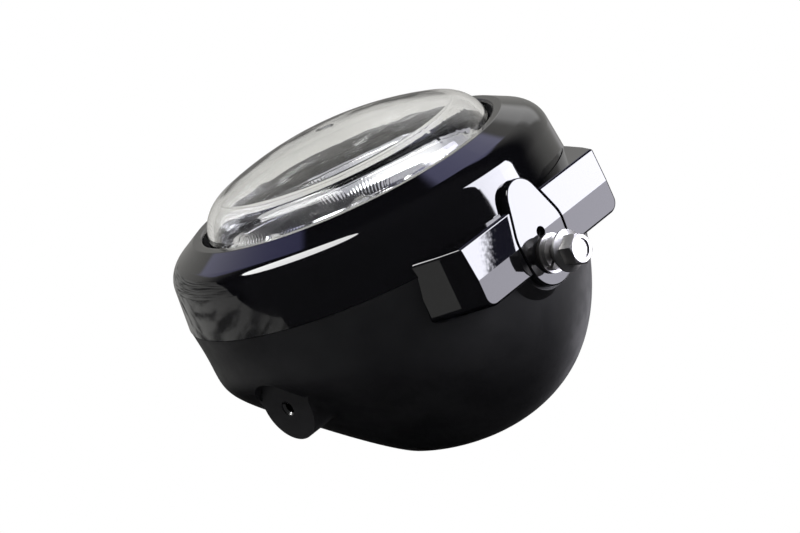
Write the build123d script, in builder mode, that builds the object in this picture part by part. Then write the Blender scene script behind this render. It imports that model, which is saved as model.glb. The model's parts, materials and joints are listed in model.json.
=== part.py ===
from build123d import *
import os
from math import cos, radians, sin, tan

os.makedirs("parts", exist_ok=True)

# Round motorcycle headlight. Millimetres, +X is the lamp's left, +Y its back and +Z up.
# The origin is where the axis of the two side bolts crosses the optical axis.

# Distance below which an edge counts as lying on a face
touch = 0.05
# Share of a face's normal that points sideways, above which it is an outer face
outward = 0.9

# Trim ring: a conical band, a soft shoulder and a flat lip round the lens
seam_radius = 92.2
seam_y = -19.3
seam_gap = 0.3
shoulder_radius = 89.5
shoulder_y = -44.5
shoulder_fillet = 12.0
lip_y = -52.6
lip_outer_radius = 74.6
lip_inner_radius = 70.0
lip_depth = 5.2
lip_edge_fillet = 1.2
seat_outer_radius = 79.4
ring_inner_corner_radius = 87.4
ring_inner_corner_y = -43.1
ring_wall = 2.3

# Bucket: round sections that taper, then close in, sink and tilt towards the back
bucket_radius = 92.0
bucket_taper = 11.0
bucket_depth = 89.7
bucket_fullness = 5.05
bucket_roundness = 1.4
bucket_drop = 33.3
drop_growth = 2.0
bucket_tilt = 38.9
tilt_growth = 1.5
bucket_wall = 2.5
section_shares = (0.0, 0.2, 0.4, 0.56, 0.68, 0.78, 0.86, 0.92, 0.96, 0.985, 0.996)
spigot_radius = 88.6
spigot_wall = 2.4
spigot_front_y = -29.0
spigot_step = 3.0
step_radius = 91.2
seal_height = 2.6
seal_outer_radius = 89.5

# Side bosses, straps and bolts
boss_face_x = 93.0
boss_radius = 15.0
boss_foot_radius = 18.6
boss_foot_x = 87.0
boss_pad = 3.0
boss_inner_radius = 11.0
boss_inner_x = 76.0
strap_face_x = 97.0
strap_inner_x = 87.0
strap_end_radius = 13.5
strap_waist_radius = 14.4
strap_top_radius = 9.2
strap_top_y = -25.2
crease_y = -10.0
face_lean = 5.0
strap_gap = 0.9
strap_edge = 0.6
strap_screw_y = crease_y
strap_hole_radius = 2.5
strap_screw_depth = 2.2
strap_screw_length = 12.0
strap_socket_flats = 2.5
strap_seat_gap = 0.1
bolt_radius = 4.0
bolt_end_x = 79.0
flat_washer_radius = 8.4
flat_washer_thickness = 1.6
lock_washer_radius = 7.2
lock_washer_thickness = 2.0
lock_split = 1.4
lock_split_angle = -60.0
washer_hole_radius = 4.3
bolt_seat_x = 106.4
bolt_flange_radius = 8.9
bolt_flange_thickness = 2.2
bolt_flange_rim = 1.0
bolt_hex_flats = 12.0
bolt_top_x = 115.0
bolt_chamfer_radius = 5.7
bolt_chamfer_drop = 1.6
bolt_dish_radius = 4.4
bolt_dish_depth = 0.8

# Wings of the side blocks, above and below each strap
wing_front_y = -25.0
wing_rear_y = 3.4
wing_upper_z = 48.0
wing_lower_z = 43.0
wing_bend_x = 87.0
wing_bend_z = 5.2
wing_foot_x = 74.0
wing_foot_z = 10.6
wing_corner = 5.0
wing_edge = 1.2
wing_clearance = 0.4
wing_screw_y = -6.0
wing_screw_radius = 2.0
wing_screw_share = 0.64
wing_screw_tip_x = 94.0
wing_pad_radius = 4.5
wing_pad_x = 78.0
wing_inner_x = 37.0
wing_head_radius = 3.6
wing_head_height = 2.6

# Bottom lug: a round boss faced level, with a threaded insert for the beam-height stay
lug_y = 18.2
lug_face_z = -84.8
lug_radius = 15.0
lug_root_fillet = 3.5
lug_reach = 22.0
lug_floor = 4.0
lug_sleeve_radius = 8.0
lug_sleeve_height = 12.0
insert_radius = 3.5
insert_recess = 0.6
insert_length = 10.0
insert_bore_radius = 2.55
insert_chamfer = 0.9

# Lens and its seal
lens_radius = 67.8
lens_thickness = 3.0
lens_apex_y = -74.7
lens_wall_y = -50.0
lens_corner_radius = 65.4
lens_corner_y = -61.3
lens_inner_corner_radius = 62.3
lens_inner_corner_y = -58.9
lens_shoulder_fillet = 17.5
lens_flange_radius = 73.0
lens_flange_front_y = -46.2
lens_flange_thickness = 3.0
seal_inner_radius = 67.9
seal_lip_radius = 74.5

# Reflector: rim, outer dish, raised collar, deep inner bowl
reflector_rim_radius = 76.0
reflector_wall = 1.8
reflector_edge_radius = 63.6
dish_inner_radius = 40.0
dish_inner_y = -26.0
dish_mid_radius = 54.0
dish_mid_y = -31.0
collar_height = 7.0
collar_inner_radius = 35.0
collar_slope = 1.0
bowl_mid_radius = 27.0
bowl_mid_y = -11.0
bowl_hole_radius = 12.0
bowl_back_y = 4.0
neck_radius = 23.0
neck_front_y = -3.0

# Bulb, its clip and boot
bulb_glass_radius = 8.3
bulb_glass_length = 40.0
bulb_glass_y = -1.0
bulb_tip_fillet = 7.0
bulb_flange_radius = 21.0
bulb_flange_thickness = 1.6
bulb_collar_radius = 11.8
bulb_body_radius = 14.0
bulb_body_length = 9.0
blade_width = 8.0
blade_thickness = 0.8
blade_length = 9.0
blade_offset = 9.0
clip_wire_radius = 0.8
wire_half_span = 15.6
wire_top_z = 20.0
wire_reach = 13.0
wire_bend = 12.0
boot_neck_radius = 17.0
boot_wall = 2.0
boot_grip = 5.0
boot_shoulder_y = 11.5
boot_set_back = 1.0

# Position lamp in the lower part of the dish
position_z = -52.0
position_hole_radius = 6.0
position_holder_radius = 8.5
position_holder_length = 16.0
position_glass_radius = 4.6
position_glass_length = 14.0
position_tip_fillet = 4.0
position_seat_y = -22.0
position_collar = 13.0

# Spring clips that press the reflector against the lip
clip_count = 4
clip_width = 9.0
clip_thickness = 0.9
clip_rise = 3.0
clip_outer_radius = 84.0

# Cable grommet in the bucket's back
grommet_z = 13.0
grommet_face_y = 83.9
grommet_neck = 3.7
grommet_pad_radius = 13.0
grommet_hole_radius = 8.5
grommet_flange_radius = 11.5
grommet_flange_thickness = 2.0
grommet_bore_radius = 4.5


def save(piece, name):
    """Label a finished piece and write it to its own file."""
    piece.label = name
    export_step(piece, f"parts/{name}.step")


def bucket_radius_at(share):
    """Radius of the bucket's round section at a share of its depth."""
    tapered = bucket_radius - bucket_taper * share
    return tapered * (1 - share ** bucket_fullness) ** (1 / bucket_roundness)


def bucket_plane(share, inset=0.0):
    """Plane of that section; the bucket's back leans to face down and back."""
    tilt = radians(bucket_tilt * share ** tilt_growth)
    centre = (0, seam_y + (bucket_depth - inset) * share, -bucket_drop * share ** drop_growth)
    return Plane(origin=centre, x_dir=(1, 0, 0), z_dir=(0, cos(tilt), -sin(tilt)))


def bucket_body(inset=0.0):
    """Solid body of the bucket, its skin moved inwards by the inset."""
    with BuildPart() as body:
        for share in section_shares:
            with BuildSketch(bucket_plane(share, inset)):
                Circle(bucket_radius_at(share) - inset)
        loft()
    return body.part


def ring_outline(grow=0.0):
    """Corners of the trim ring's outer profile, radius first, grown outwards."""
    return [
        (seam_radius + grow, seam_y - seam_gap),
        (shoulder_radius + grow, shoulder_y - grow),
        (lip_outer_radius, lip_y - grow),
    ]


lug_plane = Plane(origin=(0, lug_y, lug_face_z))
insert_plane = lug_plane.offset(insert_recess)
grommet_plane = Plane(origin=(0, grommet_face_y, grommet_z), x_dir=(1, 0, 0), z_dir=(0, 1, 0))
ring_back_y = seam_y - seam_gap
lip_back_y = lip_y + lip_depth
lens_back_y = lens_flange_front_y + lens_flange_thickness
lock_washer_x = strap_face_x + flat_washer_thickness
strap_front_y = strap_top_y - strap_top_radius
strap_reach = strap_end_radius - strap_front_y
hole_reach = strap_face_x - boss_inner_x
wing_screw_places = [
    (wing_screw_y, wing_upper_z * wing_screw_share),
    (wing_screw_y, -wing_lower_z * wing_screw_share),
]
bulb_seat_y = bowl_back_y + reflector_wall
bulb_flange_y = bulb_seat_y + bulb_flange_thickness
bulb_back_y = bulb_flange_y + bulb_body_length
boot_back_y = bulb_back_y - boot_set_back
clip_foot_y = lens_back_y + reflector_wall + clip_thickness / 2

# Pads inside the bucket's wall for the screws that hold the wings
with BuildPart() as wing_pads:
    for side in (1, -1):
        with BuildSketch(Plane.YZ.offset(side * wing_pad_x)):
            with Locations(*wing_screw_places):
                Circle(wing_pad_radius)
        extrude(amount=side * (wing_screw_tip_x - wing_pad_x))
    add(bucket_body(bucket_wall / 2), mode=Mode.INTERSECT)

# Space under the level of the lug's face, outside the bucket
with BuildPart() as lug_clearance:
    with BuildSketch(lug_plane):
        Circle(lug_radius + 2 * lug_root_fillet)
    extrude(amount=-lug_reach)
    add(bucket_body(), mode=Mode.SUBTRACT)

# Floor over the faced lug and sleeve round its insert, inside the bucket's wall
with BuildPart() as lug_seat:
    with BuildSketch(lug_plane.offset(lug_floor)):
        Circle(lug_radius + bucket_wall)
    extrude(amount=-lug_reach)
    with BuildSketch(lug_plane):
        Circle(lug_sleeve_radius)
    extrude(amount=lug_sleeve_height)
    add(bucket_body(bucket_wall / 2), mode=Mode.INTERSECT)

# Bucket
with BuildPart() as bucket:
    add(bucket_body())
    skin = bucket.faces().sort_by(SortBy.AREA)[-1]
    # the lug stands out of the shell through a soft root and is cut off level
    with BuildSketch(lug_plane.offset(-lug_reach)):
        Circle(lug_radius)
    extrude(amount=2 * lug_reach)
    lug_root = bucket.edges().filter_by_position(Axis.Z, lug_face_z - lug_reach, lug_face_z + lug_reach)
    lug_root = lug_root.filter_by(lambda edge: edge.is_closed)
    lug_root = lug_root.filter_by(lambda edge: skin.distance_to(edge @ 0.5) < touch)
    fillet(lug_root, lug_root_fillet)
    add(lug_clearance.part, mode=Mode.SUBTRACT)
    add(bucket_body(bucket_wall), mode=Mode.SUBTRACT)
    add(lug_seat.part)
    add(wing_pads.part)
    with BuildSketch(lug_plane):
        Circle(lug_radius)
    extrude(amount=-lug_reach, mode=Mode.SUBTRACT)
    with BuildSketch(lug_plane):
        Circle(insert_radius)
    extrude(amount=lug_reach, mode=Mode.SUBTRACT)
    # flat seat for the cable grommet on the back, with its hole
    with BuildSketch(grommet_plane):
        Circle(grommet_pad_radius)
    extrude(amount=-grommet_neck)
    with BuildSketch(grommet_plane):
        Circle(grommet_pad_radius)
    extrude(amount=bucket_wall, mode=Mode.SUBTRACT)
    with BuildSketch(grommet_plane):
        Circle(grommet_hole_radius)
    extrude(amount=-grommet_neck, mode=Mode.SUBTRACT)
    # mouth: a step and a spigot that carry the trim ring
    with BuildSketch(Plane.XY):
        with BuildLine():
            Polyline(
                (spigot_radius - spigot_wall, spigot_front_y),
                (spigot_radius, spigot_front_y),
                (spigot_radius, seam_y),
                (step_radius, seam_y),
                (step_radius, seam_y + spigot_step),
                (spigot_radius - spigot_wall, seam_y + spigot_step),
                close=True,
            )
        make_face()
    revolve(axis=Axis.Y)
    for side in (1, -1):
        # side boss with a flared foot outside and a threaded sleeve inside
        with BuildSketch(Plane.XY):
            with BuildLine():
                Polyline(
                    (side * boss_inner_x, 0),
                    (side * boss_face_x, 0),
                    (side * boss_face_x, boss_radius),
                    (side * boss_foot_x, boss_foot_radius),
                    (side * (boss_foot_x - boss_pad), boss_foot_radius),
                    (side * (boss_foot_x - boss_pad), boss_inner_radius),
                    (side * boss_inner_x, boss_inner_radius),
                    close=True,
                )
            make_face()
        revolve(axis=Axis.X)
        # holes for the bolt, the strap screw and the wing screws
        with BuildSketch(Plane.YZ.offset(side * boss_inner_x)):
            Circle(bolt_radius)
            with Locations((strap_screw_y, 0)):
                Circle(strap_hole_radius)
            with Locations(*wing_screw_places):
                Circle(wing_screw_radius)
        extrude(amount=side * hole_reach, mode=Mode.SUBTRACT)
save(bucket.part, "bucket")

# Threaded insert in the lug, with a countersunk mouth
with BuildPart() as lug_insert:
    with BuildSketch(insert_plane):
        Circle(insert_radius)
        Circle(insert_bore_radius, mode=Mode.SUBTRACT)
    extrude(amount=insert_length)
    mouth = lug_insert.faces().sort_by(Axis.Z)[0].edges().sort_by(SortBy.LENGTH)[0]
    chamfer(mouth, insert_chamfer)
save(lug_insert.part, "lug_insert")

# Trim ring: one turned profile
with BuildPart() as trim_ring:
    with BuildSketch() as ring_profile:
        with BuildLine():
            Polyline(
                *ring_outline(),
                (lip_inner_radius, lip_y),
                (lip_inner_radius, lip_back_y),
                (seat_outer_radius, lip_back_y),
                (ring_inner_corner_radius, ring_inner_corner_y),
                (seam_radius - ring_wall, ring_back_y),
                close=True,
            )
        make_face()
        corners = ring_profile.vertices()
        fillet(corners.sort_by_distance((shoulder_radius, shoulder_y))[0], shoulder_fillet)
        corners = ring_profile.vertices()
        fillet(corners.sort_by_distance((ring_inner_corner_radius, ring_inner_corner_y))[0],
               shoulder_fillet - ring_wall)
        corners = ring_profile.vertices()
        fillet(corners.sort_by_distance((lip_outer_radius, lip_y))[0], lip_edge_fillet)
        corners = ring_profile.vertices()
        fillet(corners.sort_by_distance((lip_inner_radius, lip_y))[0], lip_edge_fillet)
    revolve(axis=Axis.Y)
save(trim_ring.part, "trim_ring")

# Space that the trim ring and the bucket take, with room for the wings to sit over them
with BuildPart() as wing_envelope:
    with BuildSketch():
        with BuildLine():
            Polyline(
                *ring_outline(wing_clearance),
                (0, lip_y - wing_clearance),
                (0, ring_back_y),
                close=True,
            )
        make_face()
    revolve(axis=Axis.Y)
    add(bucket_body(-wing_clearance))
    with BuildSketch():
        Polygon(
            (-seam_radius - wing_clearance, ring_back_y),
            (0, ring_back_y),
            (0, seam_y + seam_gap),
            (-seam_radius - wing_clearance, seam_y + seam_gap),
            align=None,
        )
    revolve(axis=Axis.Y)
    for side in (1, -1):
        with BuildSketch():
            with BuildLine():
                Polyline(
                    (side * boss_foot_x, 0),
                    (side * (boss_face_x + wing_clearance), 0),
                    (side * (boss_face_x + wing_clearance), boss_radius + wing_clearance),
                    (side * boss_foot_x, boss_foot_radius + wing_clearance),
                    close=True,
                )
            make_face()
        revolve(axis=Axis.X)

# Space that the trim ring takes under the straps
with BuildPart() as strap_envelope:
    with BuildSketch():
        with BuildLine():
            Polyline(
                *ring_outline(strap_seat_gap),
                (0, lip_y - strap_seat_gap),
                (0, ring_back_y),
                close=True,
            )
        make_face()
    revolve(axis=Axis.Y)


def strap_outline(grow=0.0):
    """Egg-shaped outline of a strap, grown outwards."""
    with BuildSketch() as outline:
        with BuildLine():
            CenterArc((0, 0), strap_end_radius + grow, 0, 360)
            CenterArc((crease_y, 0), strap_waist_radius + grow, 0, 360)
            CenterArc((strap_top_y, 0), strap_top_radius + grow, 0, 360)
        make_hull()
    return outline.sketch


def lean_wedge(side):
    """Wedge that makes the outer face lean inwards in front of the crease."""
    lean_reach = crease_y - strap_front_y
    with BuildPart() as wedge:
        with BuildSketch():
            with BuildLine():
                Polyline(
                    (side * strap_face_x, crease_y),
                    (side * (strap_face_x + lean_reach), crease_y),
                    (side * (strap_face_x + lean_reach), strap_front_y),
                    (side * (strap_face_x - lean_reach * tan(radians(face_lean))), strap_front_y),
                    close=True,
                )
            make_face()
        extrude(amount=wing_upper_z + wing_foot_z, both=True)
    return wedge.part


# Side pieces, the same on both sides
for side_name, side in (("left", 1), ("right", -1)):
    # Strap that holds the trim ring down, clamped by the side bolt
    with BuildPart() as strap:
        with BuildSketch(Plane.YZ.offset(side * strap_inner_x)):
            add(strap_outline())
        extrude(amount=side * (strap_face_x - strap_inner_x))
        add(lean_wedge(side), mode=Mode.SUBTRACT)
        outer_faces = strap.faces().filter_by(lambda face: face.normal_at().X * side > outward)
        creases = strap.edges().filter_by_position(Axis.Y, crease_y - touch, crease_y + touch)
        fillet(outer_faces.edges() - creases, strap_edge)
        add(strap_envelope.part, mode=Mode.SUBTRACT)
        with BuildSketch(Plane.YZ.offset(side * boss_face_x)):
            with Locations((ring_back_y, 0)):
                Rectangle(strap_reach, strap_reach, align=(Align.MIN, Align.CENTER))
        extrude(amount=-side * boss_face_x, mode=Mode.SUBTRACT)
        with BuildSketch(Plane.YZ.offset(side * boss_face_x)):
            Circle(washer_hole_radius)
            with Locations((strap_screw_y, 0)):
                Circle(strap_hole_radius)
        extrude(amount=side * hole_reach, mode=Mode.SUBTRACT)
    save(strap.part, f"{side_name}_strap")

    # Headless screw sunk in the strap's hole, with a hexagon socket
    with BuildPart() as strap_screw:
        with BuildSketch(Plane.YZ.offset(side * (strap_face_x - strap_screw_depth))):
            with Locations((strap_screw_y, 0)):
                Circle(strap_hole_radius)
        extrude(amount=-side * strap_screw_length)
        with BuildSketch(Plane.YZ.offset(side * (strap_face_x - strap_screw_depth))):
            with Locations((strap_screw_y, 0)):
                RegularPolygon(strap_socket_flats / 2, 6, major_radius=False)
        extrude(amount=-side * strap_socket_flats, mode=Mode.SUBTRACT)
    save(strap_screw.part, f"{side_name}_strap_screw")

    # Wings above and below the strap: faceted blocks that hug the round body
    for wing_name, up, reach in (("upper", 1, wing_upper_z), ("lower", -1, wing_lower_z)):
        with BuildPart() as wing:
            with BuildSketch(Plane.XZ.offset(-wing_rear_y)):
                with BuildLine():
                    Polyline(
                        (side * strap_face_x, 0),
                        (side * strap_face_x, up * reach),
                        (side * wing_bend_x, up * (reach + wing_bend_z)),
                        (side * wing_foot_x, up * (reach + wing_foot_z)),
                        (side * wing_inner_x, up * (reach + wing_foot_z)),
                        (side * wing_inner_x, 0),
                        close=True,
                    )
                make_face()
            extrude(amount=wing_rear_y - wing_front_y)
            end_edges = wing.edges().filter_by_position(Axis.Y, wing_rear_y - touch, wing_rear_y + touch)
            low, high = sorted((up * (reach + touch), up * (reach + wing_foot_z - touch)))
            fillet(end_edges.filter_by_position(Axis.Z, low, high), wing_corner)
            add(lean_wedge(side), mode=Mode.SUBTRACT)
            front_face = wing.faces().sort_by(Axis.Y)[0]
            outer_faces = wing.faces().filter_by(lambda face: face.normal_at().X * side > outward)
            creases = wing.edges().filter_by_position(Axis.Y, crease_y - touch, crease_y + touch)
            rims = front_face.edges() + outer_faces.edges() - creases
            low, high = sorted((up * touch, up * (reach + wing_foot_z - touch)))
            fillet(rims.filter_by_position(Axis.Z, low, high), wing_edge)
            add(wing_envelope.part, mode=Mode.SUBTRACT)
            with BuildSketch(Plane.YZ):
                add(strap_outline(strap_gap))
            extrude(amount=side * (strap_face_x + hole_reach), mode=Mode.SUBTRACT)
            with BuildSketch(Plane.YZ.offset(side * wing_pad_x)):
                with Locations((wing_screw_y, up * reach * wing_screw_share)):
                    Circle(wing_screw_radius)
            extrude(amount=side * (wing_screw_tip_x - wing_pad_x), mode=Mode.SUBTRACT)
        save(wing.part, f"{side_name}_{wing_name}_wing")

    # Screws that hold the two wings from inside the bucket
    with BuildPart() as wing_screws:
        with BuildSketch(Plane.YZ.offset(side * wing_pad_x)):
            with Locations(*wing_screw_places):
                Circle(wing_head_radius)
        extrude(amount=-side * wing_head_height)
        with BuildSketch(Plane.YZ.offset(side * wing_pad_x)):
            with Locations(*wing_screw_places):
                Circle(wing_screw_radius)
        extrude(amount=side * (wing_screw_tip_x - wing_pad_x))
    save(wing_screws.part, f"{side_name}_wing_screws")

    # Washers under the bracket
    with BuildPart() as flat_washer:
        with BuildSketch(Plane.YZ.offset(side * strap_face_x)):
            Circle(flat_washer_radius)
            Circle(washer_hole_radius, mode=Mode.SUBTRACT)
        extrude(amount=side * flat_washer_thickness)
    save(flat_washer.part, f"{side_name}_flat_washer")

    with BuildPart() as lock_washer:
        with BuildSketch(Plane.YZ.offset(side * lock_washer_x)):
            Circle(lock_washer_radius)
            Circle(washer_hole_radius, mode=Mode.SUBTRACT)
            with Locations(Location((0, 0), lock_split_angle)):
                Rectangle(2 * lock_washer_radius, lock_split, align=(Align.MIN, Align.CENTER),
                          mode=Mode.SUBTRACT)
        extrude(amount=side * lock_washer_thickness)
    save(lock_washer.part, f"{side_name}_lock_washer")

    # Flanged hexagon bolt with a dished head
    with BuildPart() as hex_head:
        with BuildSketch(Plane.YZ.offset(side * bolt_seat_x)):
            RegularPolygon(bolt_hex_flats / 2, 6, major_radius=False)
        extrude(amount=side * (bolt_top_x - bolt_seat_x))
        with BuildSketch():
            with BuildLine():
                Polyline(
                    (side * bolt_seat_x, 0),
                    (side * bolt_top_x, 0),
                    (side * bolt_top_x, bolt_chamfer_radius),
                    (side * (bolt_top_x - bolt_chamfer_drop), bolt_flange_radius),
                    (side * bolt_seat_x, bolt_flange_radius),
                    close=True,
                )
            make_face()
        revolve(axis=Axis.X, mode=Mode.INTERSECT)
    with BuildPart() as mount_bolt:
        with BuildSketch():
            with BuildLine():
                Polyline(
                    (side * bolt_end_x, 0),
                    (side * bolt_end_x, bolt_radius),
                    (side * bolt_seat_x, bolt_radius),
                    (side * bolt_seat_x, bolt_flange_radius),
                    (side * (bolt_seat_x + bolt_flange_rim), bolt_flange_radius),
                    (side * (bolt_seat_x + bolt_flange_thickness), bolt_hex_flats / 2),
                    (side * (bolt_seat_x + bolt_flange_thickness), 0),
                    close=True,
                )
            make_face()
        revolve(axis=Axis.X)
        add(hex_head.part)
        with BuildSketch(Plane.YZ.offset(side * bolt_top_x)):
            Circle(bolt_dish_radius)
        extrude(amount=-side * bolt_dish_depth, mode=Mode.SUBTRACT)
    save(mount_bolt.part, f"{side_name}_mount_bolt")

# Seal on the spigot, behind the trim ring's edge
with BuildPart() as bucket_seal:
    with BuildSketch(Plane.XZ.offset(-seam_y)):
        Circle(seal_outer_radius)
        Circle(spigot_radius, mode=Mode.SUBTRACT)
    extrude(amount=seal_height)
save(bucket_seal.part, "bucket_seal")

# Lens: a shallow dome with a soft shoulder, a wall that leans in and a seating flange
with BuildPart() as lens:
    with BuildSketch() as lens_profile:
        with BuildLine():
            Line((0, lens_apex_y + lens_thickness), (0, lens_apex_y))
            TangentArc((0, lens_apex_y), (lens_corner_radius, lens_corner_y), tangent=(1, 0))
            Polyline(
                (lens_corner_radius, lens_corner_y),
                (lens_radius, lens_wall_y),
                (lens_radius, lens_flange_front_y),
                (lens_flange_radius, lens_flange_front_y),
                (lens_flange_radius, lens_back_y),
                (lens_radius - lens_thickness, lens_back_y),
                (lens_radius - lens_thickness, lens_wall_y),
                (lens_inner_corner_radius, lens_inner_corner_y),
            )
            TangentArc((0, lens_apex_y + lens_thickness),
                       (lens_inner_corner_radius, lens_inner_corner_y), tangent=(1, 0))
        make_face()
        corners = lens_profile.vertices()
        fillet(corners.sort_by_distance((lens_corner_radius, lens_corner_y))[0], lens_shoulder_fillet)
        corners = lens_profile.vertices()
        fillet(corners.sort_by_distance((lens_inner_corner_radius, lens_inner_corner_y))[0],
               lens_shoulder_fillet - lens_thickness)
    revolve(axis=Axis.Y)
save(lens.part, "lens")

# Seal between the lip and the lens flange
with BuildPart() as lens_seal:
    with BuildSketch(Plane.XZ.offset(-lens_flange_front_y)):
        Circle(seal_lip_radius)
        Circle(seal_inner_radius, mode=Mode.SUBTRACT)
    extrude(amount=lens_flange_front_y - lip_back_y)
save(lens_seal.part, "lens_seal")

# Reflector: rim, outer dish, raised collar, deep bowl and bulb neck
with BuildPart() as reflector:
    with BuildSketch():
        with BuildLine():
            Polyline(
                (reflector_edge_radius + reflector_wall, lens_back_y + reflector_wall),
                (reflector_rim_radius, lens_back_y + reflector_wall),
                (reflector_rim_radius, lens_back_y),
                (reflector_edge_radius, lens_back_y),
            )
            ThreePointArc((reflector_edge_radius, lens_back_y), (dish_mid_radius, dish_mid_y),
                          (dish_inner_radius, dish_inner_y))
            Polyline(
                (dish_inner_radius, dish_inner_y),
                (dish_inner_radius - collar_slope, dish_inner_y - collar_height),
                (collar_inner_radius + collar_slope, dish_inner_y - collar_height),
                (collar_inner_radius, dish_inner_y),
            )
            ThreePointArc((collar_inner_radius, dish_inner_y), (bowl_mid_radius, bowl_mid_y),
                          (bowl_hole_radius, bowl_back_y))
            Polyline(
                (bowl_hole_radius, bowl_back_y),
                (bowl_hole_radius, bulb_seat_y),
                (neck_radius, bulb_seat_y),
                (neck_radius, neck_front_y),
                (collar_inner_radius + reflector_wall, dish_inner_y + reflector_wall),
                (dish_inner_radius, dish_inner_y + reflector_wall),
            )
            ThreePointArc((dish_inner_radius, dish_inner_y + reflector_wall),
                          (dish_mid_radius + reflector_wall, dish_mid_y + reflector_wall),
                          (reflector_edge_radius + reflector_wall, lens_back_y + reflector_wall))
        make_face()
    revolve(axis=Axis.Y)
    with BuildSketch(Plane.XZ.offset(-dish_inner_y - reflector_wall)):
        with Locations((0, position_z)):
            Circle(position_hole_radius)
    extrude(amount=bulb_glass_length, mode=Mode.SUBTRACT)
save(reflector.part, "reflector")

# Spring clips between the reflector's rim and the trim ring
with BuildPart() as retaining_clips:
    for index in range(clip_count):
        turn = radians(360 / clip_count * (index + 0.5))
        clip_plane = Plane(origin=(0, 0, 0), x_dir=(cos(turn), 0, sin(turn)),
                           z_dir=(-sin(turn), 0, cos(turn)))
        with BuildSketch(clip_plane):
            with BuildLine() as clip_line:
                Polyline(
                    (lens_flange_radius - clip_width / 2, clip_foot_y),
                    (reflector_rim_radius, clip_foot_y),
                    (reflector_rim_radius + clip_rise, clip_foot_y + clip_rise),
                    (clip_outer_radius, clip_foot_y + clip_rise),
                    (clip_outer_radius, clip_foot_y - clip_rise / 2),
                )
            trace(clip_line.line, clip_thickness)
        extrude(amount=clip_width / 2, both=True)
save(retaining_clips.part, "retaining_clips")

# Bulb: metal base, glass, three blades
with BuildPart() as bulb_base:
    with BuildSketch():
        with BuildLine():
            Polyline(
                (0, bulb_glass_y),
                (bulb_collar_radius, bulb_glass_y),
                (bulb_collar_radius, bulb_seat_y),
                (bulb_flange_radius, bulb_seat_y),
                (bulb_flange_radius, bulb_flange_y),
                (bulb_body_radius, bulb_flange_y),
                (bulb_body_radius, bulb_back_y),
                (0, bulb_back_y),
                close=True,
            )
        make_face()
    revolve(axis=Axis.Y)
save(bulb_base.part, "bulb_base")

with BuildPart() as bulb_glass:
    with BuildSketch(Plane.XZ.offset(-bulb_glass_y)):
        Circle(bulb_glass_radius)
    extrude(amount=bulb_glass_length)
    fillet(bulb_glass.faces().sort_by(Axis.Y)[0].edges(), bulb_tip_fillet)
save(bulb_glass.part, "bulb_glass")

with BuildPart() as bulb_terminals:
    with BuildSketch(Plane.XZ.offset(-bulb_back_y)):
        with Locations((-blade_offset, 0), (blade_offset, 0)):
            Rectangle(blade_thickness, blade_width)
        with Locations((0, blade_offset)):
            Rectangle(blade_width, blade_thickness)
    extrude(amount=-blade_length)
save(bulb_terminals.part, "bulb_terminals")

# Wire clip that holds the bulb's flange
with BuildPart() as bulb_clip:
    with BuildLine() as clip_path:
        FilletPolyline(
            (-wire_half_span, bulb_flange_y + clip_wire_radius, -wire_reach),
            (-wire_half_span, bulb_flange_y + clip_wire_radius, wire_top_z),
            (wire_half_span, bulb_flange_y + clip_wire_radius, wire_top_z),
            (wire_half_span, bulb_flange_y + clip_wire_radius, -wire_reach),
            radius=wire_bend,
        )
    with BuildSketch(Plane(origin=clip_path.line @ 0, z_dir=clip_path.line % 0)):
        Circle(clip_wire_radius)
    sweep()
save(bulb_clip.part, "bulb_clip")

# Rubber boot over the neck and the bulb's body
with BuildPart() as bulb_boot:
    with BuildSketch():
        with BuildLine():
            Polyline(
                (neck_radius, bowl_back_y - boot_grip),
                (neck_radius + boot_wall, bowl_back_y - boot_grip),
                (neck_radius + boot_wall, boot_shoulder_y),
                (boot_neck_radius, boot_back_y),
                (bulb_body_radius, boot_back_y),
                (bulb_body_radius, boot_back_y - boot_wall),
                (neck_radius, boot_shoulder_y - boot_wall),
                close=True,
            )
        make_face()
    revolve(axis=Axis.Y)
save(bulb_boot.part, "bulb_boot")

# Position lamp: holder pushed into the dish from behind, small glass bulb in front
with BuildPart() as position_holder:
    with BuildSketch(Plane.XZ.offset(-position_seat_y)):
        with Locations((0, position_z)):
            Circle(position_holder_radius)
    extrude(amount=-position_holder_length)
    with BuildSketch(Plane.XZ.offset(-position_seat_y)):
        with Locations((0, position_z)):
            Circle(position_hole_radius)
    extrude(amount=position_collar)
save(position_holder.part, "position_lamp_holder")

with BuildPart() as position_bulb:
    with BuildSketch(Plane.XZ.offset(position_collar - position_seat_y)):
        with Locations((0, position_z)):
            Circle(position_glass_radius)
    extrude(amount=position_glass_length)
    fillet(position_bulb.faces().sort_by(Axis.Y)[0].edges(), position_tip_fillet)
save(position_bulb.part, "position_bulb")

# Cable grommet: two flanges and a neck in the bucket's back
with BuildPart() as cable_grommet:
    with BuildSketch(grommet_plane):
        Circle(grommet_flange_radius)
    extrude(amount=grommet_flange_thickness)
    with BuildSketch(grommet_plane):
        Circle(grommet_hole_radius)
    extrude(amount=-grommet_neck)
    with BuildSketch(grommet_plane.offset(-grommet_neck)):
        Circle(grommet_flange_radius)
    extrude(amount=-grommet_flange_thickness)
    with BuildSketch(grommet_plane.offset(grommet_flange_thickness)):
        Circle(grommet_bore_radius)
    extrude(amount=-grommet_neck - 2 * grommet_flange_thickness, mode=Mode.SUBTRACT)
save(cable_grommet.part, "cable_grommet")
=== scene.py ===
import json
import math

import bpy
from mathutils import Matrix, Vector


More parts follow.
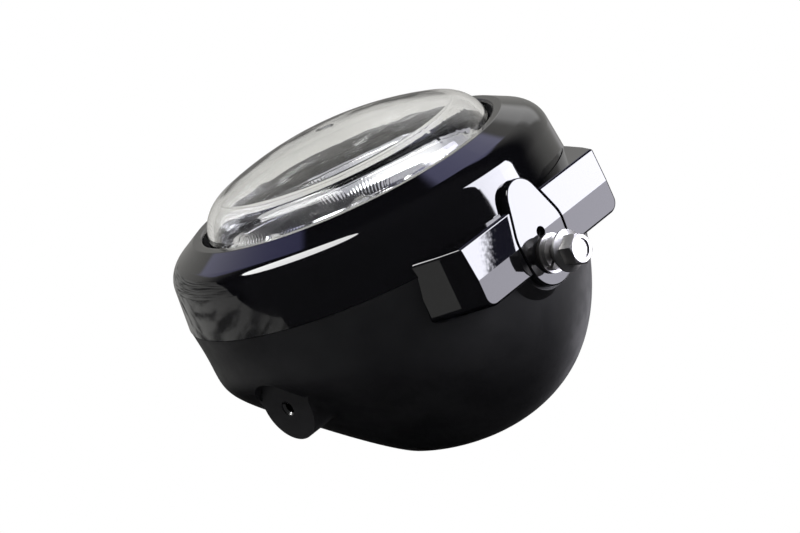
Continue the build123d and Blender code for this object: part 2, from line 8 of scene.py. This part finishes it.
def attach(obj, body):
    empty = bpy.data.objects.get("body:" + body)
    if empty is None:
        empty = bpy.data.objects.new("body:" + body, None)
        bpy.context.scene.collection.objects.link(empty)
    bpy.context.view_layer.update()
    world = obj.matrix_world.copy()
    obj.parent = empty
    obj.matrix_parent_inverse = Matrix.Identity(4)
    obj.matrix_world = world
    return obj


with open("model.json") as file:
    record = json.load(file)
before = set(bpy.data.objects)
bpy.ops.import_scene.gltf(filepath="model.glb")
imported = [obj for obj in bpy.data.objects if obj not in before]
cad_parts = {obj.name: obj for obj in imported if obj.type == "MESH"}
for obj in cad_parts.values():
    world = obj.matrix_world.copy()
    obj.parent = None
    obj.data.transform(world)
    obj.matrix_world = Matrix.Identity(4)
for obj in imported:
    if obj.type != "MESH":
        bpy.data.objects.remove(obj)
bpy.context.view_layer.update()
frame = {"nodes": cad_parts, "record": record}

nodes = frame["nodes"]

# Camera, in metres in the lamp's own frame: below, in front and to the lamp's left
camera_place = Vector((0.7296, -0.2458, -0.6067))
view_forward = Vector((-0.7425, 0.2477, 0.6224)).normalized()
view_up = Vector((0.1024, -0.8763, 0.4708))
view_right = view_forward.cross(view_up).normalized()
view_up = view_right.cross(view_forward)
sensor_mm = 36.0
focal_mm = 99.0
near_clip = 0.01

# Stage, in metres
lamp_centre = Vector((0.0, -0.01, -0.005))
floor_z = -0.95
floor_size = 24.0
floor_roughness = 0.9


def studio(right, up, back):
    """Direction in the studio, which stands square to the camera, as a vector in the lamp's frame."""
    return (view_right * right + view_up * up - view_forward * back).normalized()


def add_object(name, data):
    """New object in the scene."""
    thing = bpy.data.objects.new(name, data)
    bpy.context.scene.collection.objects.link(thing)
    return thing


# Shader helpers


def start_material(name):
    """New node material; returns it with its node tree and its main shader."""
    material = bpy.data.materials.new(name)
    material.use_nodes = True
    tree = material.node_tree
    return material, tree, tree.nodes["Principled BSDF"]


def object_coordinates(tree):
    """Object coordinates in metres; on the lamp they are its own frame."""
    return tree.nodes.new("ShaderNodeTexCoord").outputs["Object"]


def noise(tree, scale, detail=3.0, vector=None):
    """Value of a smooth noise whose grain is about one over the scale, in metres."""
    node = tree.nodes.new("ShaderNodeTexNoise")
    node.inputs["Scale"].default_value = scale
    node.inputs["Detail"].default_value = detail
    tree.links.new(node.inputs["Vector"], vector or object_coordinates(tree))
    return node.outputs["Fac"]


def streaks(tree, stretch):
    """Noise drawn out into streaks; a larger stretch along an axis makes it finer there."""
    mapping = tree.nodes.new("ShaderNodeMapping")
    mapping.inputs["Scale"].default_value = stretch
    tree.links.new(mapping.inputs["Vector"], object_coordinates(tree))
    return noise(tree, scale=1.0, detail=6.0, vector=mapping.outputs["Vector"])


def ramp(tree, value, low, high, start=0.3, end=0.7):
    """Value spread smoothly from low to high between two levels of another, by default a noise's."""
    node = tree.nodes.new("ShaderNodeMapRange")
    node.interpolation_type = "SMOOTHSTEP"
    node.inputs["From Min"].default_value = start
    node.inputs["From Max"].default_value = end
    node.inputs["To Min"].default_value = low
    node.inputs["To Max"].default_value = high
    tree.links.new(node.inputs["Value"], value)
    return node.outputs["Result"]


def paint(tree, shader, pattern, first, second, start=0.3, end=0.7):
    """Base colour that goes from first to second between two levels of a pattern."""
    node = tree.nodes.new("ShaderNodeMix")
    node.data_type = "RGBA"
    node.inputs["A"].default_value = (*first, 1)
    node.inputs["B"].default_value = (*second, 1)
    tree.links.new(node.inputs["Factor"], ramp(tree, pattern, 0.0, 1.0, start, end))
    tree.links.new(shader.inputs["Base Color"], node.outputs["Result"])


def polish(tree, shader, pattern, low, high):
    """Roughness that follows a pattern from low to high."""
    tree.links.new(shader.inputs["Roughness"], ramp(tree, pattern, low, high))


def bump(tree, shader, height, depth, strength=1.0):
    """Relief of the given depth in metres on the shader's normal."""
    node = tree.nodes.new("ShaderNodeBump")
    node.inputs["Distance"].default_value = depth
    node.inputs["Strength"].default_value = strength
    tree.links.new(node.inputs["Height"], height)
    tree.links.new(shader.inputs["Normal"], node.outputs["Normal"])


def turning_marks(tree, grain):
    """Fine rings round the side bolts' axis, as a lathe leaves them."""
    split = tree.nodes.new("ShaderNodeSeparateXYZ")
    tree.links.new(split.inputs["Vector"], object_coordinates(tree))
    join = tree.nodes.new("ShaderNodeCombineXYZ")
    tree.links.new(join.inputs["X"], split.outputs["Y"])
    tree.links.new(join.inputs["Y"], split.outputs["Z"])
    radius = tree.nodes.new("ShaderNodeVectorMath")
    radius.operation = "LENGTH"
    tree.links.new(radius.inputs[0], join.outputs["Vector"])
    rings = tree.nodes.new("ShaderNodeTexNoise")
    rings.noise_dimensions = "1D"
    rings.inputs["Scale"].default_value = grain
    rings.inputs["Detail"].default_value = 4.0
    tree.links.new(rings.inputs["W"], radius.outputs["Value"])
    return rings.outputs["Fac"]


def pressed_rings(tree, scale):
    """Wavering rings round the lamp's axis, as a pressed reflector has them."""
    rings = tree.nodes.new("ShaderNodeTexWave")
    rings.wave_type = "RINGS"
    rings.rings_direction = "Y"
    rings.inputs["Scale"].default_value = scale
    rings.inputs["Distortion"].default_value = 3.0
    rings.inputs["Detail"].default_value = 1.0
    rings.inputs["Detail Scale"].default_value = 0.4
    tree.links.new(rings.inputs["Vector"], object_coordinates(tree))
    return rings.outputs["Fac"]


# Materials


def gloss_black():
    """Polished black under clear lacquer, with a faint ripple and a few specks of dust."""
    material, tree, shader = start_material("gloss_black")
    dust = noise(tree, scale=1500, detail=1.0)
    paint(tree, shader, dust, (0.0035, 0.0035, 0.0042), (0.035, 0.035, 0.036), start=0.74, end=0.8)
    polish(tree, shader, noise(tree, scale=60), low=0.03, high=0.06)
    shader.inputs["IOR"].default_value = 1.55
    shader.inputs["Coat Weight"].default_value = 1.0
    shader.inputs["Coat Roughness"].default_value = 0.02
    bump(tree, shader, noise(tree, scale=120, detail=1.0), depth=0.000004)
    return material


def satin_black():
    """Satin black paint with a fine even grain."""
    material, tree, shader = start_material("satin_black")
    paint(tree, shader, noise(tree, scale=35), (0.010, 0.010, 0.0105), (0.016, 0.016, 0.016))
    polish(tree, shader, noise(tree, scale=120), low=0.40, high=0.47)
    bump(tree, shader, noise(tree, scale=4000, detail=2.0), depth=0.00003, strength=0.4)
    return material


def clear_lens():
    """Clear moulded glass with a faint flow ripple."""
    material, tree, shader = start_material("clear_lens")
    paint(tree, shader, noise(tree, scale=18), (0.965, 0.972, 0.965), (0.985, 0.985, 0.98))
    shader.inputs["Transmission Weight"].default_value = 1.0
    shader.inputs["IOR"].default_value = 1.5
    polish(tree, shader, noise(tree, scale=45), low=0.0, high=0.015)
    bump(tree, shader, noise(tree, scale=60, detail=1.0), depth=0.00006)
    return material


def seal_rubber():
    """Matte black rubber."""
    material, tree, shader = start_material("seal_rubber")
    paint(tree, shader, noise(tree, scale=300), (0.012, 0.012, 0.012), (0.025, 0.025, 0.024))
    polish(tree, shader, noise(tree, scale=700), low=0.65, high=0.85)
    bump(tree, shader, noise(tree, scale=1800), depth=0.00004)
    return material


def mirror_coat():
    """Vacuum-metallised mirror with a slight haze and pressed rings."""
    material, tree, shader = start_material("mirror_coat")
    paint(tree, shader, noise(tree, scale=30), (0.84, 0.84, 0.85), (0.92, 0.92, 0.92))
    shader.inputs["Metallic"].default_value = 1.0
    polish(tree, shader, noise(tree, scale=80), low=0.03, high=0.07)
    bump(tree, shader, pressed_rings(tree, scale=60.0), depth=0.0001)
    return material


def bright_steel(name, dark, light, low_rough, high_rough):
    """Bright steel with fine turned rings and patches of duller polish."""
    material, tree, shader = start_material(name)
    rings = turning_marks(tree, grain=9000)
    paint(tree, shader, noise(tree, scale=200), dark, light)
    shader.inputs["Metallic"].default_value = 1.0
    polish(tree, shader, rings, low_rough, high_rough)
    bump(tree, shader, rings, depth=0.000001)
    return material


def black_screw():
    """Blackened steel."""
    material, tree, shader = start_material("black_screw")
    paint(tree, shader, noise(tree, scale=900), (0.004, 0.004, 0.004), (0.010, 0.010, 0.010))
    polish(tree, shader, noise(tree, scale=1500), low=0.45, high=0.65)
    return material


def holder_plastic():
    """Moulded black plastic with a fine spark-eroded grain."""
    material, tree, shader = start_material("holder_plastic")
    paint(tree, shader, noise(tree, scale=500), (0.02, 0.02, 0.02), (0.035, 0.035, 0.034))
    polish(tree, shader, noise(tree, scale=900), low=0.5, high=0.65)
    bump(tree, shader, noise(tree, scale=2500), depth=0.00004)
    return material


def bulb_glass():
    """Thin clear quartz."""
    material, tree, shader = start_material("bulb_glass")
    paint(tree, shader, noise(tree, scale=100), (0.97, 0.97, 0.97), (1.0, 1.0, 1.0))
    shader.inputs["Transmission Weight"].default_value = 1.0
    shader.inputs["IOR"].default_value = 1.46
    polish(tree, shader, noise(tree, scale=200), low=0.0, high=0.03)
    return material


finishes = {
    "gloss_black": gloss_black(),
    "satin_black": satin_black(),
    "clear_lens": clear_lens(),
    "seal_rubber": seal_rubber(),
    "mirror_coat": mirror_coat(),
    "spring_steel": bright_steel("spring_steel", (0.42, 0.42, 0.43), (0.58, 0.58, 0.59), 0.25, 0.4),
    "plated_steel": bright_steel("plated_steel", (0.62, 0.62, 0.62), (0.74, 0.74, 0.73), 0.16, 0.24),
    "stainless": bright_steel("stainless", (0.74, 0.73, 0.72), (0.84, 0.83, 0.82), 0.28, 0.38),
    "black_screw": black_screw(),
    "holder_plastic": holder_plastic(),
    "bulb_glass": bulb_glass(),
}
for subpart in frame["record"]["subparts"]:
    mesh = nodes[subpart["node"]].data
    mesh.materials.clear()
    mesh.materials.append(finishes[subpart["material_slot"]])

# Optics: radial flutes pressed into the reflector's outer dish, with a gap at the position lamp
dish_centre_radius = 0.03812
dish_centre_y = -0.05338
dish_arc_radius = 0.02744
flute_count = 200
flute_samples = 5
flute_start = math.radians(25)
flute_end = math.radians(82)
flute_rows = 20
flute_base = 0.00012
flute_depth = 0.0001
position_gap = math.radians(10)


def dish_point(turn, slope, height):
    """Point a little in front of the dish; turn runs round the lamp, slope along the dish's arc."""
    reach = dish_arc_radius - height
    radius = dish_centre_radius + reach * math.cos(slope)
    return (radius * math.cos(turn), dish_centre_y + reach * math.sin(slope), radius * math.sin(turn))


def flute_points(columns):
    """Points of the skin's plain back and then of its fluted front, column by column round the lamp."""
    first_turn = -math.pi / 2 + position_gap
    sweep = 2 * math.pi - 2 * position_gap
    points = []
    for layer in range(2):
        for column in range(columns + 1):
            turn = first_turn + sweep * column / columns
            wave = abs(math.sin(math.pi * column / flute_samples))
            for row in range(flute_rows + 1):
                share = row / flute_rows
                fade = math.sqrt(math.sin(math.pi * share)) if 0 < row < flute_rows else 0.0
                height = flute_base + layer * (flute_base + flute_depth * wave * fade)
                points.append(dish_point(turn, flute_start + (flute_end - flute_start) * share, height))
    return points


def flute_faces(columns):
    """Faces of the skin's back and front and of the edges between them."""
    rows = flute_rows + 1
    front = (columns + 1) * rows
    faces = []
    for column in range(columns):
        first = column * rows
        last = first + flute_rows
        for low in range(first, last):
            faces.append((low, low + 1, low + rows + 1, low + rows))
            faces.append((front + low, front + low + rows, front + low + rows + 1, front + low + 1))
        faces.append((first, first + rows, front + first + rows, front + first))
        faces.append((front + last, front + last + rows, last + rows, last))
    for near in range(flute_rows):
        far = columns * rows + near
        faces.append((near + 1, near, front + near, front + near + 1))
        faces.append((far, far + 1, front + far + 1, front + far))
    return faces


def fluted_dish():
    """Thin fluted skin on the dish, closed at its back and edges."""
    columns = flute_count * flute_samples
    mesh = bpy.data.meshes.new("fluted_dish")
    mesh.from_pydata(flute_points(columns), [], flute_faces(columns))
    for polygon in mesh.polygons:
        polygon.use_smooth = True
    mesh.materials.append(finishes["mirror_coat"])
    piece = add_object("fluted_dish", mesh)
    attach(piece, "root")


fluted_dish()


# Floor


def pale_floor():
    """Plain pale floor that takes the lamp's shadow."""
    half = floor_size / 2
    mesh = bpy.data.meshes.new("floor")
    mesh.from_pydata(
        [(-half, -half, floor_z), (half, -half, floor_z), (half, half, floor_z), (-half, half, floor_z)],
        [],
        [(0, 1, 2, 3)],
    )
    material, tree, shader = start_material("floor")
    paint(tree, shader, noise(tree, scale=2), (0.84, 0.84, 0.83), (0.88, 0.88, 0.87))
    shader.inputs["Roughness"].default_value = floor_roughness
    mesh.materials.append(material)
    floor = add_object("floor", mesh)
    floor.visible_glossy = False


pale_floor()


# Lights


def softbox(name, direction, along, distance, length, width, brightness):
    """Oval soft light aimed at the lamp, with its length towards a second direction.

    The brightness is what a mirror shows of it.
    """
    light = bpy.data.lights.new(name, "AREA")
    light.shape = "ELLIPSE"
    light.size = length
    light.size_y = width
    area = math.pi / 4 * length * width
    light.energy = brightness * math.pi * area
    back = direction.normalized()
    side = (along - back * along.dot(back)).normalized()
    turn = Matrix((side, back.cross(side), back)).transposed().to_4x4()
    holder = add_object(name, light)
    holder.matrix_world = Matrix.Translation(lamp_centre + back * distance) @ turn
    holder.visible_camera = False


softbox(
    "left_strip",
    direction=studio(-0.762, 0.582, 0.288),
    along=studio(-0.441, 0.679, 0.587),
    distance=2.0,
    length=1.9,
    width=0.8,
    brightness=8.0,
)

# Boards that only show in reflections, placed to the right of the lamp, with outlines as (back, up) points
grain_place = -0.30
grain_tilt = 0.126
grain_outline = [
    (-0.02, 0.045), (0.023, 0.002), (0.046, -0.039), (0.059, -0.155), (0.090, -0.170), (0.138, -0.187),
    (0.201, -0.208), (0.216, -0.225), (0.216, -0.24), (-0.70, -0.24), (-0.70, 0.10),
]
grain_stretch = (7.0, 95.0, 1.0)
grain_colour = (1.0, 1.0, 0.97, 1)
flag_place = 0.095
flag_tilt = 3.009
flag_outline = [(0.1004, 0.006), (0.0840, 0.0142), (0.0838, 0.034), (0.1004, 0.029)]
flag_stretch = (800.0, 450.0, 1.0)
flag_colour = (0.03, 0.03, 0.07, 1)
flag_clear = -0.0960
flag_full = -0.0890
fray_depth = 0.010


def reflection_board(name, place, tilt, outline):
    """Flat board that faces the lamp from one side; returns its material's empty node tree."""
    along = studio(0.0, -math.sin(tilt), math.cos(tilt))
    rise = studio(0.0, math.cos(tilt), math.sin(tilt))
    corners = [view_up * up - view_forward * back for back, up in outline]
    mesh = bpy.data.meshes.new(name)
    mesh.from_pydata([(c.dot(along), c.dot(rise), 0.0) for c in corners], [], [range(len(corners))])
    board = add_object(name, mesh)
    turn = Matrix((along, rise, along.cross(rise))).transposed().to_4x4()
    board.matrix_world = Matrix.Translation(lamp_centre + view_right * place) @ turn
    board.visible_camera = False
    board.visible_diffuse = False
    board.visible_transmission = False
    board.visible_shadow = False
    material = bpy.data.materials.new(name)
    material.use_nodes = True
    material.node_tree.nodes.clear()
    mesh.materials.append(material)
    return material.node_tree


def grain_board():
    """Streaky grey board on the side away from the bolt that shows, for the trim ring."""
    tree = reflection_board("grain_board", grain_place, grain_tilt, grain_outline)
    glow = tree.nodes.new("ShaderNodeEmission")
    glow.inputs["Color"].default_value = grain_colour
    grey = ramp(tree, streaks(tree, grain_stretch), low=0.06, high=0.30, start=0.36, end=0.56)
    tree.links.new(glow.inputs["Strength"], grey)
    output = tree.nodes.new("ShaderNodeOutputMaterial")
    tree.links.new(output.inputs["Surface"], glow.outputs["Emission"])


def frayed_flag():
    """Small dark flag with a frayed edge, close to the lower wing's front face."""
    tree = reflection_board("frayed_flag", flag_place, flag_tilt, flag_outline)
    split = tree.nodes.new("ShaderNodeSeparateXYZ")
    tree.links.new(split.inputs["Vector"], object_coordinates(tree))
    fray = tree.nodes.new("ShaderNodeMath")
    fray.operation = "MULTIPLY_ADD"
    tree.links.new(fray.inputs[0], streaks(tree, flag_stretch))
    fray.inputs[1].default_value = fray_depth
    tree.links.new(fray.inputs[2], split.outputs["X"])
    clear = tree.nodes.new("ShaderNodeBsdfTransparent")
    dark = tree.nodes.new("ShaderNodeEmission")
    dark.inputs["Color"].default_value = flag_colour
    edge = tree.nodes.new("ShaderNodeMixShader")
    cover = ramp(tree, fray.outputs["Value"], low=0.0, high=1.0, start=flag_clear, end=flag_full)
    tree.links.new(edge.inputs["Fac"], cover)
    tree.links.new(edge.inputs[1], clear.outputs["BSDF"])
    tree.links.new(edge.inputs[2], dark.outputs["Emission"])
    output = tree.nodes.new("ShaderNodeOutputMaterial")
    tree.links.new(output.inputs["Surface"], edge.outputs["Shader"])


grain_board()
frayed_flag()


# World: a white backdrop behind the lamp and a dim studio with a few lit walls elsewhere
backdrop_colour = (1, 1, 1, 1)
backdrop_in_glass = (0.8, 0.79, 0.76, 1)
backdrop_in_gloss = 0.3


def facing(tree, direction):
    """How much a ray's direction points along a given one, from -1 to 1."""
    node = tree.nodes.new("ShaderNodeVectorMath")
    node.operation = "DOT_PRODUCT"
    tree.links.new(node.inputs[0], tree.nodes.new("ShaderNodeTexCoord").outputs["Generated"])
    node.inputs[1].default_value = direction
    return node.outputs["Value"]


def combine(tree, operation, first, second):
    """Two values joined by the given operation."""
    node = tree.nodes.new("ShaderNodeMath")
    node.operation = operation
    tree.links.new(node.inputs[0], first)
    tree.links.new(node.inputs[1], second)
    return node.outputs["Value"]


def lit_wall(tree, direction, half_width, half_height, edge, colour, lean=0.0):
    """Soft-edged oblong of light in the world round a direction, as a colour; it may lean sideways."""
    centre = direction.normalized()
    side = view_up.cross(centre).normalized()
    rise = centre.cross(side)
    share = ramp(tree, facing(tree, centre), low=0.0, high=1.0, start=0.0, end=0.2)
    for axis, half_size in ((side + rise * lean, half_width), (rise, half_height)):
        for sign in (1, -1):
            reach = facing(tree, axis * sign)
            inside = ramp(tree, reach, low=1.0, high=0.0, start=half_size - edge, end=half_size + edge)
            share = combine(tree, "MULTIPLY", share, inside)
    node = tree.nodes.new("ShaderNodeVectorMath")
    node.operation = "SCALE"
    node.inputs[0].default_value = colour
    tree.links.new(node.inputs["Scale"], share)
    return node.outputs["Vector"]


def total(tree, colours):
    """Sum of several colours."""
    added = colours[0]
    for colour in colours[1:]:
        node = tree.nodes.new("ShaderNodeVectorMath")
        node.operation = "ADD"
        tree.links.new(node.inputs[0], added)
        tree.links.new(node.inputs[1], colour)
        added = node.outputs["Vector"]
    return added


def lit_walls(tree):
    """The dim studio and its lit walls, each with its half width, half height, edge and colour."""
    return [
        # The dim room itself, in front of the backdrop
        lit_wall(tree, studio(0.0, 0.0, 1.0), 2.0, 2.0, 0.1, (0.02, 0.02, 0.021)),
        # Bright leaning window at the right, for the trim ring's side, the wings and the strap
        lit_wall(tree, studio(0.845, 0.477, 0.242), 0.27, 0.25, 0.003, (9.2, 9.2, 10.2), lean=0.42),
        # Pale violet card below it, for the wings' outer faces and the bolt's head
        lit_wall(tree, studio(0.985, 0.13, 0.03), 0.20, 0.085, 0.02, (3.0, 2.95, 3.35)),
        # Violet bands above and beyond the lamp, for the trim ring's sloping front
        lit_wall(tree, studio(-0.70, 0.59, -0.40), 0.15, 0.24, 0.02, (0.2, 0.2, 0.42), lean=-0.62),
        lit_wall(tree, studio(-0.06, 0.93, -0.37), 0.15, 0.17, 0.03, (0.45, 0.45, 0.78)),
        # Grey glow above, for the ring's far side
        lit_wall(tree, studio(0.10, 0.62, -0.78), 0.30, 0.15, 0.06, (0.42, 0.42, 0.43)),
        # Soft glow far right, for the bucket's side
        lit_wall(tree, studio(0.55, -0.06, -0.83), 0.28, 0.20, 0.12, (1.1, 1.08, 1.2)),
        # Small grey card low at the left, for the lower wing's end faces
        lit_wall(tree, studio(-0.54, -0.72, 0.45), 0.09, 0.09, 0.02, (0.26, 0.26, 0.25)),
    ]


def background(tree, colour):
    """Background of one colour."""
    node = tree.nodes.new("ShaderNodeBackground")
    node.inputs["Color"].default_value = colour
    return node.outputs["Background"]


def mix_shaders(tree, share, first, second):
    """First shader where the share is 0, second where it is 1."""
    node = tree.nodes.new("ShaderNodeMixShader")
    tree.links.new(node.inputs["Fac"], share)
    tree.links.new(node.inputs[1], first)
    tree.links.new(node.inputs[2], second)
    return node.outputs["Shader"]


def studio_world():
    """World of the lit walls; the camera sees the backdrop, and glass and gloss see it behind the lamp."""
    world = bpy.data.worlds.new("studio")
    world.use_nodes = True
    tree = world.node_tree
    tree.nodes.clear()
    dim = tree.nodes.new("ShaderNodeBackground")
    tree.links.new(dim.inputs["Color"], total(tree, lit_walls(tree)))
    path = tree.nodes.new("ShaderNodeLightPath").outputs
    beyond = ramp(tree, facing(tree, view_forward), low=0.0, high=1.0, start=0.2, end=0.6)
    above = ramp(tree, facing(tree, view_up), low=0.0, high=1.0, start=-0.4, end=0.0)
    glossy = ramp(tree, path["Is Glossy Ray"], low=0.0, high=backdrop_in_gloss, start=0.0, end=1.0)
    seen = combine(tree, "MAXIMUM", path["Is Transmission Ray"], glossy)
    behind = combine(tree, "MULTIPLY", beyond, above)
    reflected = mix_shaders(
        tree,
        combine(tree, "MULTIPLY", behind, seen),
        dim.outputs["Background"],
        background(tree, backdrop_in_glass),
    )
    shown = mix_shaders(tree, path["Is Camera Ray"], reflected, background(tree, backdrop_colour))
    output = tree.nodes.new("ShaderNodeOutputWorld")
    tree.links.new(output.inputs["Surface"], shown)
    bpy.context.scene.world = world


studio_world()


# Camera
camera_data = bpy.data.cameras.new("camera")
camera_data.sensor_width = sensor_mm
camera_data.lens = focal_mm
camera_data.clip_start = near_clip
camera = add_object("camera", camera_data)
camera_turn = Matrix((view_right, view_up, -view_forward)).transposed().to_4x4()
camera.matrix_world = Matrix.Translation(camera_place) @ camera_turn
bpy.context.scene.camera = camera

bpy.context.scene.view_settings.view_transform = "Standard"
